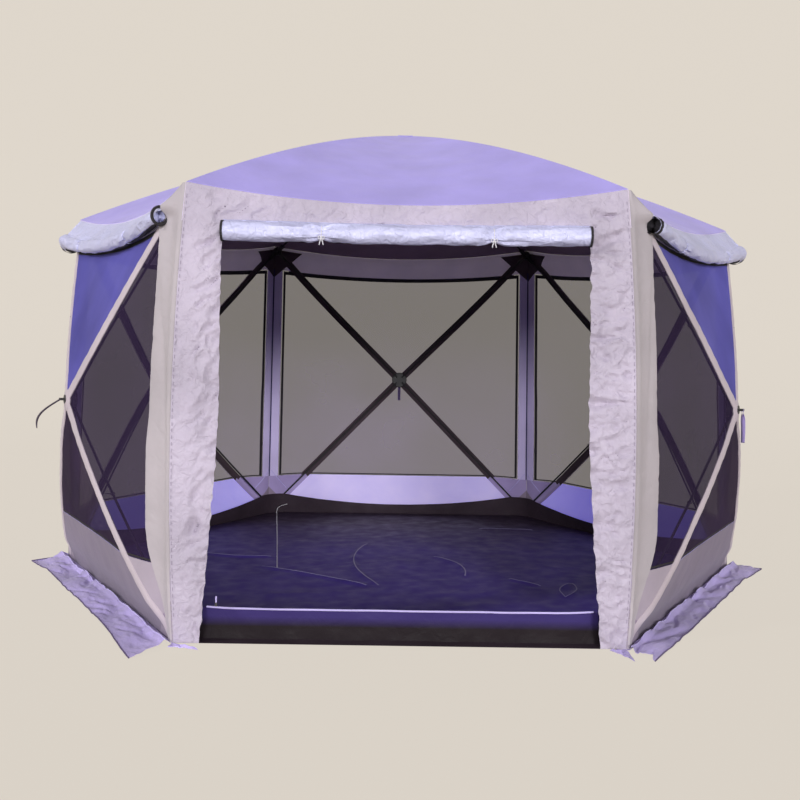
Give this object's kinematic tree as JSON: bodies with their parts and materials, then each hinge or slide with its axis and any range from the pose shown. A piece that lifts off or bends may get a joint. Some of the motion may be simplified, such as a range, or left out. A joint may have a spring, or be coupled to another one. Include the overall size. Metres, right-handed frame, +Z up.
{
  "type": "pop-up kitchen tent",
  "caption": "Six-sided pop-up kitchen tent with mesh walls on sprung hubs and riveted poles, a domed roof, a tub floor, ground flaps, rolled covers and an open doorway.",
  "frame": {"origin": "on the ground under the middle of the floor", "axes": "+Z up, -Y out of the doorway, +X towards the right of someone who looks at the doorway from outside"},
  "size_m": [4.0288, 3.5108, 2.294],
  "materials": {
    "roof_cloth": "coated woven polyester, matt",
    "wall_mesh": "open mesh, matt",
    "door_cloth": "coated woven polyester, matt",
    "floor_sheet": "coated groundsheet, slightly shiny",
    "flap_cloth": "woven polyester, matt",
    "cover_cloth": "silver-coated polyester, satin",
    "hub_plastic": "moulded, satin",
    "pole_glass_fibre": "pultruded glass fibre, satin",
    "strap_webbing": "woven webbing, matt",
    "zip_metal": "dark coated, satin"
  },
  "bodies": {
    "tent": {"roof_canopy": "roof_cloth", "door_wall": "door_cloth", "floor_tub": "floor_sheet", "ground_flaps": "flap_cloth", "door_roll": "cover_cloth", "wall_panel_right_front": "wall_mesh", "wall_panel_right_rear": "wall_mesh", "wall_panel_rear": "wall_mesh", "wall_panel_left_rear": "wall_mesh", "wall_panel_left_front": "wall_mesh", "cover_roll_right_front": "cover_cloth", "cover_roll_right_rear": "cover_cloth", "cover_roll_rear": "cover_cloth", "cover_roll_left_rear": "cover_cloth", "cover_roll_left_front": "cover_cloth", "corner_joint_front_left": "hub_plastic", "corner_joint_front_right": "hub_plastic", "corner_joint_wide_right": "hub_plastic", "corner_joint_rear_right": "hub_plastic", "corner_joint_rear_left": "hub_plastic", "corner_joint_wide_left": "hub_plastic"},
    "wall_cross_right_front": {"wall_hub_right_front": "hub_plastic"},
    "wall_arm_right_front_upper_a": {"wall_pole_right_front_upper_a": "pole_glass_fibre"},
    "wall_arm_right_front_upper_b": {"wall_pole_right_front_upper_b": "pole_glass_fibre"},
    "wall_arm_right_front_lower_a": {"wall_pole_right_front_lower_a": "pole_glass_fibre"},
    "wall_arm_right_front_lower_b": {"wall_pole_right_front_lower_b": "pole_glass_fibre"},
    "strap_right_front": {"pull_strap_right_front": "strap_webbing"},
    "wall_cross_right_rear": {"wall_hub_right_rear": "hub_plastic"},
    "wall_arm_right_rear_upper_a": {"wall_pole_right_rear_upper_a": "pole_glass_fibre"},
    "wall_arm_right_rear_upper_b": {"wall_pole_right_rear_upper_b": "pole_glass_fibre"},
    "wall_arm_right_rear_lower_a": {"wall_pole_right_rear_lower_a": "pole_glass_fibre"},
    "wall_arm_right_rear_lower_b": {"wall_pole_right_rear_lower_b": "pole_glass_fibre"},
    "strap_right_rear": {"pull_strap_right_rear": "strap_webbing"},
    "wall_cross_rear": {"wall_hub_rear": "hub_plastic"},
    "wall_arm_rear_upper_a": {"wall_pole_rear_upper_a": "pole_glass_fibre"},
    "wall_arm_rear_upper_b": {"wall_pole_rear_upper_b": "pole_glass_fibre"},
    "wall_arm_rear_lower_a": {"wall_pole_rear_lower_a": "pole_glass_fibre"},
    "wall_arm_rear_lower_b": {"wall_pole_rear_lower_b": "pole_glass_fibre"},
    "strap_rear": {"pull_strap_rear": "strap_webbing"},
    "wall_cross_left_rear": {"wall_hub_left_rear": "hub_plastic"},
    "wall_arm_left_rear_upper_a": {"wall_pole_left_rear_upper_a": "pole_glass_fibre"},
    "wall_arm_left_rear_upper_b": {"wall_pole_left_rear_upper_b": "pole_glass_fibre"},
    "wall_arm_left_rear_lower_a": {"wall_pole_left_rear_lower_a": "pole_glass_fibre"},
    "wall_arm_left_rear_lower_b": {"wall_pole_left_rear_lower_b": "pole_glass_fibre"},
    "strap_left_rear": {"pull_strap_left_rear": "strap_webbing"},
    "wall_cross_left_front": {"wall_hub_left_front": "hub_plastic"},
    "wall_arm_left_front_upper_a": {"wall_pole_left_front_upper_a": "pole_glass_fibre"},
    "wall_arm_left_front_upper_b": {"wall_pole_left_front_upper_b": "pole_glass_fibre"},
    "wall_arm_left_front_lower_a": {"wall_pole_left_front_lower_a": "pole_glass_fibre"},
    "wall_arm_left_front_lower_b": {"wall_pole_left_front_lower_b": "pole_glass_fibre"},
    "strap_left_front": {"pull_strap_left_front": "strap_webbing"},
    "roof_crown": {"roof_hub": "hub_plastic"},
    "roof_arm_front_left": {"roof_pole_front_left": "pole_glass_fibre"},
    "roof_arm_front_right": {"roof_pole_front_right": "pole_glass_fibre"},
    "roof_arm_wide_right": {"roof_pole_wide_right": "pole_glass_fibre"},
    "roof_arm_rear_right": {"roof_pole_rear_right": "pole_glass_fibre"},
    "roof_arm_rear_left": {"roof_pole_rear_left": "pole_glass_fibre"},
    "roof_arm_wide_left": {"roof_pole_wide_left": "pole_glass_fibre"},
    "zip_left": {"zip_slider_left": "zip_metal"},
    "zip_right": {"zip_slider_right": "zip_metal"}
  },
  "joints": [
    {"name": "wall_hub_slide_right_front", "type": "slide", "parent": "tent", "child": "wall_cross_right_front", "axis": [0.8655, -0.4997, 0.0333], "range_m": [-0.21, 0], "deforming": ["wall_panel_right_front"]},
    {"name": "wall_pole_hinge_right_front_upper_a", "type": "hinge", "parent": "wall_cross_right_front", "child": "wall_arm_right_front_upper_a", "pos_m": [1.49525, -0.89048, 0.94158], "axis": [-0.3406, -0.636, -0.6925], "range_deg": [-10.2, 0]},
    {"name": "wall_pole_hinge_right_front_upper_b", "type": "hinge", "parent": "wall_cross_right_front", "child": "wall_arm_right_front_upper_b", "pos_m": [1.5188, -0.84968, 0.94158], "axis": [-0.3805, -0.6129, 0.6925], "range_deg": [-10.2, 0]},
    {"name": "wall_pole_hinge_right_front_lower_a", "type": "hinge", "parent": "wall_cross_right_front", "child": "wall_arm_right_front_lower_a", "pos_m": [1.49641, -0.8917, 0.89304], "axis": [0.3741, 0.6009, -0.7064], "range_deg": [-10, 0]},
    {"name": "wall_pole_hinge_right_front_lower_b", "type": "hinge", "parent": "wall_cross_right_front", "child": "wall_arm_right_front_lower_b", "pos_m": [1.52044, -0.85008, 0.89304], "axis": [0.3333, 0.6244, 0.7064], "range_deg": [-10, 0]},
    {"name": "strap_hinge_right_front", "type": "hinge", "parent": "wall_cross_right_front", "child": "strap_right_front", "pos_m": [1.55269, -0.89644, 0.9188], "axis": [-0.5, -0.866, 0], "range_deg": [-10, 120]},
    {"name": "wall_hub_slide_right_rear", "type": "slide", "parent": "tent", "child": "wall_cross_right_rear", "axis": [0.8655, 0.4997, 0.0333], "range_m": [-0.21, 0], "deforming": ["wall_panel_right_rear"]},
    {"name": "wall_pole_hinge_right_rear_upper_a", "type": "hinge", "parent": "wall_cross_right_rear", "child": "wall_arm_right_rear_upper_a", "pos_m": [1.5188, 0.84968, 0.94158], "axis": [0.3805, -0.6129, -0.6925], "range_deg": [-10.2, 0]},
    {"name": "wall_pole_hinge_right_rear_upper_b", "type": "hinge", "parent": "wall_cross_right_rear", "child": "wall_arm_right_rear_upper_b", "pos_m": [1.49525, 0.89048, 0.94158], "axis": [0.3406, -0.636, 0.6925], "range_deg": [-10.2, 0]},
    {"name": "wall_pole_hinge_right_rear_lower_a", "type": "hinge", "parent": "wall_cross_right_rear", "child": "wall_arm_right_rear_lower_a", "pos_m": [1.52044, 0.85008, 0.89304], "axis": [-0.3333, 0.6244, -0.7064], "range_deg": [-10, 0]},
    {"name": "wall_pole_hinge_right_rear_lower_b", "type": "hinge", "parent": "wall_cross_right_rear", "child": "wall_arm_right_rear_lower_b", "pos_m": [1.49641, 0.8917, 0.89304], "axis": [-0.3741, 0.6009, 0.7064], "range_deg": [-10, 0]},
    {"name": "strap_hinge_right_rear", "type": "hinge", "parent": "wall_cross_right_rear", "child": "strap_right_rear", "pos_m": [1.55269, 0.89644, 0.9188], "axis": [0.5, -0.866, 0], "range_deg": [-10, 120]},
    {"name": "wall_hub_slide_rear", "type": "slide", "parent": "tent", "child": "wall_cross_rear", "axis": [0, 0.9994, 0.0333], "range_m": [-0.21, 0], "deforming": ["wall_panel_rear"]},
    {"name": "wall_pole_hinge_rear_upper_a", "type": "hinge", "parent": "wall_cross_rear", "child": "wall_arm_rear_upper_a", "pos_m": [0.02356, 1.74016, 0.94158], "axis": [0.7211, 0.0231, -0.6925], "range_deg": [-10.2, 0]},
    {"name": "wall_pole_hinge_rear_upper_b", "type": "hinge", "parent": "wall_cross_rear", "child": "wall_arm_rear_upper_b", "pos_m": [-0.02356, 1.74016, 0.94158], "axis": [0.7211, -0.0231, 0.6925], "range_deg": [-10.2, 0]},
    {"name": "wall_pole_hinge_rear_lower_a", "type": "hinge", "parent": "wall_cross_rear", "child": "wall_arm_rear_lower_a", "pos_m": [0.02403, 1.74178, 0.89304], "axis": [-0.7074, 0.0235, -0.7064], "range_deg": [-10, 0]},
    {"name": "wall_pole_hinge_rear_lower_b", "type": "hinge", "parent": "wall_cross_rear", "child": "wall_arm_rear_lower_b", "pos_m": [-0.02403, 1.74178, 0.89304], "axis": [-0.7074, -0.0235, 0.7064], "range_deg": [-10, 0]},
    {"name": "strap_hinge_rear", "type": "hinge", "parent": "wall_cross_rear", "child": "strap_rear", "pos_m": [0, 1.79289, 0.9188], "axis": [1, 0, 0], "range_deg": [-10, 120]},
    {"name": "wall_hub_slide_left_rear", "type": "slide", "parent": "tent", "child": "wall_cross_left_rear", "axis": [-0.8655, 0.4997, 0.0333], "range_m": [-0.21, 0], "deforming": ["wall_panel_left_rear"]},
    {"name": "wall_pole_hinge_left_rear_upper_a", "type": "hinge", "parent": "wall_cross_left_rear", "child": "wall_arm_left_rear_upper_a", "pos_m": [-1.49525, 0.89048, 0.94158], "axis": [0.3406, 0.636, -0.6925], "range_deg": [-10.2, 0]},
    {"name": "wall_pole_hinge_left_rear_upper_b", "type": "hinge", "parent": "wall_cross_left_rear", "child": "wall_arm_left_rear_upper_b", "pos_m": [-1.5188, 0.84968, 0.94158], "axis": [0.3805, 0.6129, 0.6925], "range_deg": [-10.2, 0]},
    {"name": "wall_pole_hinge_left_rear_lower_a", "type": "hinge", "parent": "wall_cross_left_rear", "child": "wall_arm_left_rear_lower_a", "pos_m": [-1.49641, 0.8917, 0.89304], "axis": [-0.3741, -0.6009, -0.7064], "range_deg": [-10, 0]},
    {"name": "wall_pole_hinge_left_rear_lower_b", "type": "hinge", "parent": "wall_cross_left_rear", "child": "wall_arm_left_rear_lower_b", "pos_m": [-1.52044, 0.85008, 0.89304], "axis": [-0.3333, -0.6244, 0.7064], "range_deg": [-10, 0]},
    {"name": "strap_hinge_left_rear", "type": "hinge", "parent": "wall_cross_left_rear", "child": "strap_left_rear", "pos_m": [-1.55269, 0.89644, 0.9188], "axis": [0.5, 0.866, 0], "range_deg": [-10, 120]},
    {"name": "wall_hub_slide_left_front", "type": "slide", "parent": "tent", "child": "wall_cross_left_front", "axis": [-0.8655, -0.4997, 0.0333], "range_m": [-0.21, 0], "deforming": ["wall_panel_left_front"]},
    {"name": "wall_pole_hinge_left_front_upper_a", "type": "hinge", "parent": "wall_cross_left_front", "child": "wall_arm_left_front_upper_a", "pos_m": [-1.5188, -0.84968, 0.94158], "axis": [-0.3805, 0.6129, -0.6925], "range_deg": [-10.2, 0]},
    {"name": "wall_pole_hinge_left_front_upper_b", "type": "hinge", "parent": "wall_cross_left_front", "child": "wall_arm_left_front_upper_b", "pos_m": [-1.49525, -0.89048, 0.94158], "axis": [-0.3406, 0.636, 0.6925], "range_deg": [-10.2, 0]},
    {"name": "wall_pole_hinge_left_front_lower_a", "type": "hinge", "parent": "wall_cross_left_front", "child": "wall_arm_left_front_lower_a", "pos_m": [-1.52044, -0.85008, 0.89304], "axis": [0.3333, -0.6244, -0.7064], "range_deg": [-10, 0]},
    {"name": "wall_pole_hinge_left_front_lower_b", "type": "hinge", "parent": "wall_cross_left_front", "child": "wall_arm_left_front_lower_b", "pos_m": [-1.49641, -0.8917, 0.89304], "axis": [0.3741, -0.6009, 0.7064], "range_deg": [-10, 0]},
    {"name": "strap_hinge_left_front", "type": "hinge", "parent": "wall_cross_left_front", "child": "strap_left_front", "pos_m": [-1.55269, -0.89644, 0.9188], "axis": [-0.5, 0.866, 0], "range_deg": [-10, 120]},
    {"name": "roof_hub_slide", "type": "slide", "parent": "tent", "child": "roof_crown", "axis": [0, 0, 1], "range_m": [-0.28, 0], "deforming": ["roof_canopy"]},
    {"name": "roof_pole_hinge_front_left", "type": "hinge", "parent": "roof_crown", "child": "roof_arm_front_left", "pos_m": [-0.026, -0.04503, 2.25504], "axis": [0.866, -0.5, 0], "range_deg": [-9.62, 0]},
    {"name": "roof_pole_hinge_front_right", "type": "hinge", "parent": "roof_crown", "child": "roof_arm_front_right", "pos_m": [0.026, -0.04503, 2.25504], "axis": [0.866, 0.5, 0], "range_deg": [-9.62, 0]},
    {"name": "roof_pole_hinge_wide_right", "type": "hinge", "parent": "roof_crown", "child": "roof_arm_wide_right", "pos_m": [0.052, 0, 2.25504], "axis": [0, 1, 0], "range_deg": [-9.62, 0]},
    {"name": "roof_pole_hinge_rear_right", "type": "hinge", "parent": "roof_crown", "child": "roof_arm_rear_right", "pos_m": [0.026, 0.04503, 2.25504], "axis": [-0.866, 0.5, 0], "range_deg": [-9.62, 0]},
    {"name": "roof_pole_hinge_rear_left", "type": "hinge", "parent": "roof_crown", "child": "roof_arm_rear_left", "pos_m": [-0.026, 0.04503, 2.25504], "axis": [-0.866, -0.5, 0], "range_deg": [-9.62, 0]},
    {"name": "roof_pole_hinge_wide_left", "type": "hinge", "parent": "roof_crown", "child": "roof_arm_wide_left", "pos_m": [-0.052, 0, 2.25504], "axis": [0, -1, 0], "range_deg": [-9.62, 0]},
    {"name": "zip_slide_left", "type": "slide", "parent": "tent", "child": "zip_left", "axis": [0.0274, -0.0383, 0.9989], "range_m": [-0.18, 1.1]},
    {"name": "zip_slide_right", "type": "slide", "parent": "tent", "child": "zip_right", "axis": [-0.0272, -0.038, 0.9989], "range_m": [-0.18, 1.1]}
  ],
  "couplings": [
    {"joint": "wall_pole_hinge_right_front_upper_a", "follows": "wall_hub_slide_right_front", "rad_per_m": 0.83101},
    {"joint": "wall_pole_hinge_right_front_upper_b", "follows": "wall_hub_slide_right_front", "rad_per_m": 0.83101},
    {"joint": "wall_pole_hinge_right_front_lower_a", "follows": "wall_hub_slide_right_front", "rad_per_m": 0.81441},
    {"joint": "wall_pole_hinge_right_front_lower_b", "follows": "wall_hub_slide_right_front", "rad_per_m": 0.81441},
    {"joint": "wall_pole_hinge_right_rear_upper_a", "follows": "wall_hub_slide_right_rear", "rad_per_m": 0.83101},
    {"joint": "wall_pole_hinge_right_rear_upper_b", "follows": "wall_hub_slide_right_rear", "rad_per_m": 0.83101},
    {"joint": "wall_pole_hinge_right_rear_lower_a", "follows": "wall_hub_slide_right_rear", "rad_per_m": 0.81441},
    {"joint": "wall_pole_hinge_right_rear_lower_b", "follows": "wall_hub_slide_right_rear", "rad_per_m": 0.81441},
    {"joint": "wall_pole_hinge_rear_upper_a", "follows": "wall_hub_slide_rear", "rad_per_m": 0.83101},
    {"joint": "wall_pole_hinge_rear_upper_b", "follows": "wall_hub_slide_rear", "rad_per_m": 0.83101},
    {"joint": "wall_pole_hinge_rear_lower_a", "follows": "wall_hub_slide_rear", "rad_per_m": 0.81441},
    {"joint": "wall_pole_hinge_rear_lower_b", "follows": "wall_hub_slide_rear", "rad_per_m": 0.81441},
    {"joint": "wall_pole_hinge_left_rear_upper_a", "follows": "wall_hub_slide_left_rear", "rad_per_m": 0.83101},
    {"joint": "wall_pole_hinge_left_rear_upper_b", "follows": "wall_hub_slide_left_rear", "rad_per_m": 0.83101},
    {"joint": "wall_pole_hinge_left_rear_lower_a", "follows": "wall_hub_slide_left_rear", "rad_per_m": 0.81441},
    {"joint": "wall_pole_hinge_left_rear_lower_b", "follows": "wall_hub_slide_left_rear", "rad_per_m": 0.81441},
    {"joint": "wall_pole_hinge_left_front_upper_a", "follows": "wall_hub_slide_left_front", "rad_per_m": 0.83101},
    {"joint": "wall_pole_hinge_left_front_upper_b", "follows": "wall_hub_slide_left_front", "rad_per_m": 0.83101},
    {"joint": "wall_pole_hinge_left_front_lower_a", "follows": "wall_hub_slide_left_front", "rad_per_m": 0.81441},
    {"joint": "wall_pole_hinge_left_front_lower_b", "follows": "wall_hub_slide_left_front", "rad_per_m": 0.81441},
    {"joint": "roof_pole_hinge_front_left", "follows": "roof_hub_slide", "rad_per_m": 0.58717},
    {"joint": "roof_pole_hinge_front_right", "follows": "roof_hub_slide", "rad_per_m": 0.58717},
    {"joint": "roof_pole_hinge_wide_right", "follows": "roof_hub_slide", "rad_per_m": 0.58717},
    {"joint": "roof_pole_hinge_rear_right", "follows": "roof_hub_slide", "rad_per_m": 0.58717},
    {"joint": "roof_pole_hinge_rear_left", "follows": "roof_hub_slide", "rad_per_m": 0.58717},
    {"joint": "roof_pole_hinge_wide_left", "follows": "roof_hub_slide", "rad_per_m": 0.58717}
  ]
}
